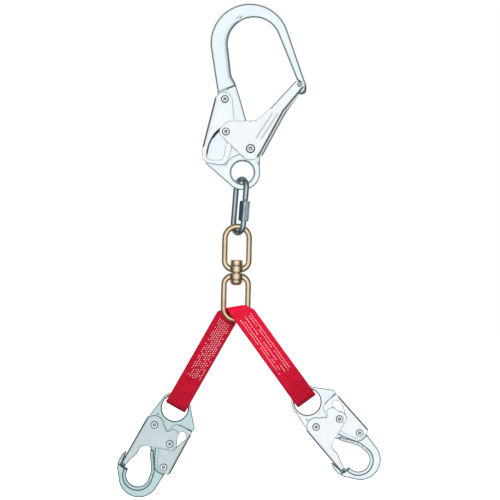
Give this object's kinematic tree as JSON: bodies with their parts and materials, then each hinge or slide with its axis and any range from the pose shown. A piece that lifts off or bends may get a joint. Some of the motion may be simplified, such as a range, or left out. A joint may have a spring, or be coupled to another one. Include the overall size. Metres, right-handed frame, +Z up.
{
  "type": "rebar positioning lanyard",
  "caption": "Rebar positioning lanyard: a large gated rebar hook, a screw link and a swivel carry a red web sling whose legs end in self-locking snap hooks.",
  "frame": {"origin": "centre of the large hook's bowl arc, where the bar sits", "axes": "+Z up the lanyard, away from the snap hooks; +Y through the hooks' thickness, away from the viewer; +X to the viewer's right"},
  "size_m": [0.3161, 0.03, 0.5927],
  "materials": {
    "zinc_steel": "bright zinc plated forged and stamped steel",
    "rivet_steel": "plated rivet heads with a dimple",
    "spring_steel": "drawn spring wire",
    "link_steel": "polished grey steel rod",
    "gold_zinc": "yellow zinc plated steel",
    "red_webbing": "woven polyester webbing with lock stitching"
  },
  "bodies": {
    "rebar_hook": {"rebar_hook_body": "zinc_steel", "rebar_gate_pivot_rivet": "rivet_steel", "rebar_lever_rivet": "rivet_steel", "rebar_gate_spring": "spring_steel", "rebar_lever_spring": "spring_steel"},
    "rebar_gate": {"rebar_gate": "zinc_steel", "rebar_gate_nose_pin": "rivet_steel", "rebar_lock_studs": "rivet_steel"},
    "rebar_lever": {"rebar_lever": "zinc_steel"},
    "screw_link": {"quick_link": "link_steel"},
    "link_nut": {"link_nut": "link_steel"},
    "swivel_upper": {"swivel_upper_eye": "gold_zinc"},
    "swivel_lower": {"swivel_lower_eye": "gold_zinc", "swivel_pin": "gold_zinc", "web_saddle": "red_webbing"},
    "left_leg": {"left_web_leg": "red_webbing"},
    "right_leg": {"right_web_leg": "red_webbing"},
    "left_snap": {"left_snap_body": "zinc_steel", "left_snap_gate_rivet": "rivet_steel", "left_snap_lever_rivet": "rivet_steel", "left_snap_gate_spring": "spring_steel", "left_snap_lever_spring": "spring_steel"},
    "left_snap_gate": {"left_snap_gate": "zinc_steel", "left_snap_lock_studs": "rivet_steel"},
    "left_snap_lever": {"left_snap_lever": "zinc_steel"},
    "right_snap": {"right_snap_body": "zinc_steel", "right_snap_gate_rivet": "rivet_steel", "right_snap_lever_rivet": "rivet_steel", "right_snap_gate_spring": "spring_steel", "right_snap_lever_spring": "spring_steel"},
    "right_snap_gate": {"right_snap_gate": "zinc_steel", "right_snap_lock_studs": "rivet_steel"},
    "right_snap_lever": {"right_snap_lever": "zinc_steel"}
  },
  "joints": [
    {"name": "rebar_gate_hinge", "type": "hinge", "parent": "rebar_hook", "child": "rebar_gate", "pos_m": [-0.0042, 0, -0.126], "axis": [0, -1, 0], "range_deg": [0, 34], "stiffness_Nm_per_rad": 0.25, "springref_deg": -28.65},
    {"name": "rebar_lever_hinge", "type": "hinge", "parent": "rebar_hook", "child": "rebar_lever", "pos_m": [-0.0348, 0, -0.0666], "axis": [0, -1, 0], "range_deg": [0, 5], "stiffness_Nm_per_rad": 0.6, "springref_deg": -22.92},
    {"name": "link_swing", "type": "hinge", "parent": "rebar_hook", "child": "screw_link", "pos_m": [-0.0138, 0, -0.1542], "axis": [0, 1, 0], "range_deg": [-50, 50]},
    {"name": "swivel_swing", "type": "hinge", "parent": "screw_link", "child": "swivel_upper", "pos_m": [-0.02021, 0, -0.23339], "axis": [0, 1, 0], "range_deg": [-35, 35]},
    {"name": "swivel_spin", "type": "hinge", "parent": "swivel_upper", "child": "swivel_lower", "pos_m": [-0.02104, 0, -0.27019], "axis": [0.0227, 0, 0.9997], "continuous": true},
    {"name": "link_nut_travel", "type": "slide", "parent": "screw_link", "child": "link_nut", "axis": [0.0802, 0, 0.9968], "range_m": [0, 0.012]},
    {"name": "left_leg_swing", "type": "hinge", "parent": "swivel_lower", "child": "left_leg", "pos_m": [-0.021, 0.0064, -0.3348], "axis": [0, 1, 0], "range_deg": [-15, 12], "stiffness_Nm_per_rad": 2, "springref_deg": 7.33},
    {"name": "left_snap_swing", "type": "hinge", "parent": "left_leg", "child": "left_snap", "pos_m": [-0.08853, 0.0064, -0.42554], "axis": [0.8678, 0, -0.497], "range_deg": [-15, 15]},
    {"name": "left_snap_gate_hinge", "type": "hinge", "parent": "left_snap", "child": "left_snap_gate", "pos_m": [-0.11954, 0.0064, -0.45697], "axis": [0, -1, 0], "range_deg": [0, 21], "stiffness_Nm_per_rad": 0.12, "springref_deg": -28.65},
    {"name": "left_snap_lever_hinge", "type": "hinge", "parent": "left_snap", "child": "left_snap_lever", "pos_m": [-0.10878, 0.0064, -0.50814], "axis": [0, -1, 0], "range_deg": [0, 8], "stiffness_Nm_per_rad": 0.2, "springref_deg": -22.92},
    {"name": "right_leg_swing", "type": "hinge", "parent": "swivel_lower", "child": "right_leg", "pos_m": [-0.021, -0.0064, -0.3348], "axis": [0, -1, 0], "range_deg": [-20, 12], "stiffness_Nm_per_rad": 2, "springref_deg": 9.45},
    {"name": "right_snap_swing", "type": "hinge", "parent": "right_leg", "child": "right_snap", "pos_m": [0.05593, -0.0064, -0.41772], "axis": [0.809, 0, 0.5878], "range_deg": [-15, 15]},
    {"name": "right_snap_gate_hinge", "type": "hinge", "parent": "right_snap", "child": "right_snap_gate", "pos_m": [0.07408, -0.0064, -0.45822], "axis": [0, -1, 0], "range_deg": [0, 21], "stiffness_Nm_per_rad": 0.12, "springref_deg": -28.65},
    {"name": "right_snap_lever_hinge", "type": "hinge", "parent": "right_snap", "child": "right_snap_lever", "pos_m": [0.12585, -0.0064, -0.46561], "axis": [0, -1, 0], "range_deg": [0, 8], "stiffness_Nm_per_rad": 0.2, "springref_deg": -22.92}
  ]
}
